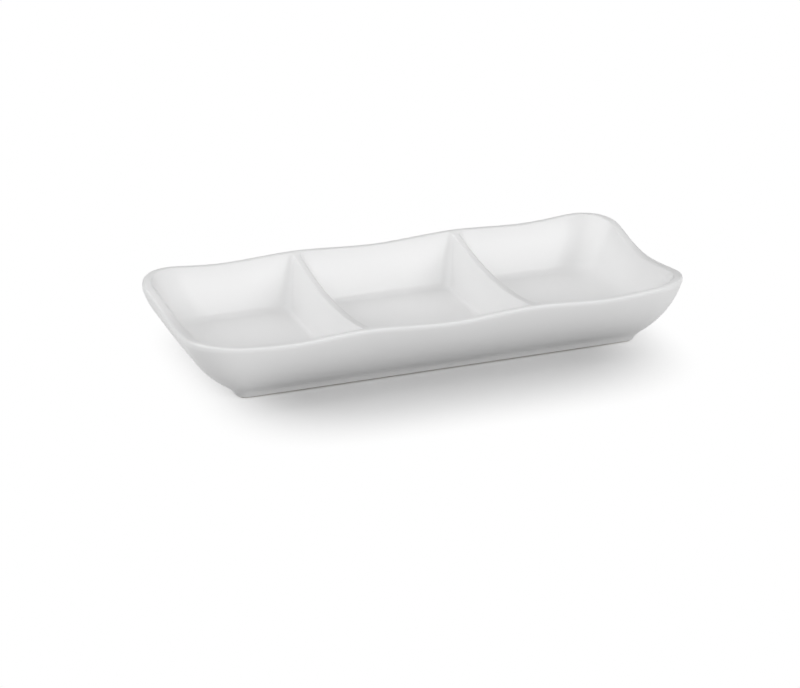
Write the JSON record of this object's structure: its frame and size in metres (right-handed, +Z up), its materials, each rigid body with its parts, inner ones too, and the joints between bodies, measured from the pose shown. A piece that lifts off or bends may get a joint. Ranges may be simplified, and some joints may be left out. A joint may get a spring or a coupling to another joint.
{
  "type": "divided serving dish",
  "caption": "Long shallow white serving dish with a row of open wells between low cross dividers, a wavy rounded rim, sloping walls and a recessed foot ring.",
  "frame": {"origin": "on the table, below the middle of the dish", "axes": "+Z up, +X along the row of wells, +Y across the dish"},
  "size_m": [0.2502, 0.1118, 0.0337],
  "materials": {
    "fired_porcelain": "bare fired porcelain, ground smooth",
    "white_glaze": "glossy white glaze"
  },
  "bodies": {
    "root": {"porcelain_body": "fired_porcelain", "glaze_coat": "white_glaze", "base_glaze": "white_glaze"}
  },
  "joints": []
}
